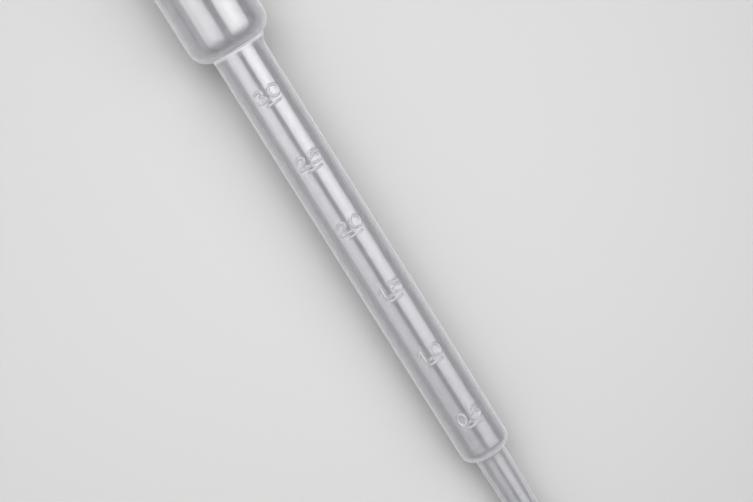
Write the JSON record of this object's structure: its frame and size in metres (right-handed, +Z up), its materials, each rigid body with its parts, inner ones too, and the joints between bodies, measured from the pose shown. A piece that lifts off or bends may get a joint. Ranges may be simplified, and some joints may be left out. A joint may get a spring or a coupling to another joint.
{
  "type": "transfer pipette",
  "caption": "One-piece plastic dropper pipette with squeeze bulb, graduated stem, stepped taper tip and raised volume lines.",
  "frame": {"origin": "middle of the underside: the bottom centre of the box round the pipette, on the surface it lies on", "axes": "+X along the pipette, from the tip towards the bulb, +Z up, with the graduation on the upper side; the pipette's own axis leans up to the bulb by about two degrees, as it does at rest"},
  "size_m": [0.155, 0.0134, 0.0144],
  "materials": {
    "polyethylene": "translucent satin, as blown"
  },
  "bodies": {
    "root": {"pipette": "polyethylene"}
  },
  "joints": []
}
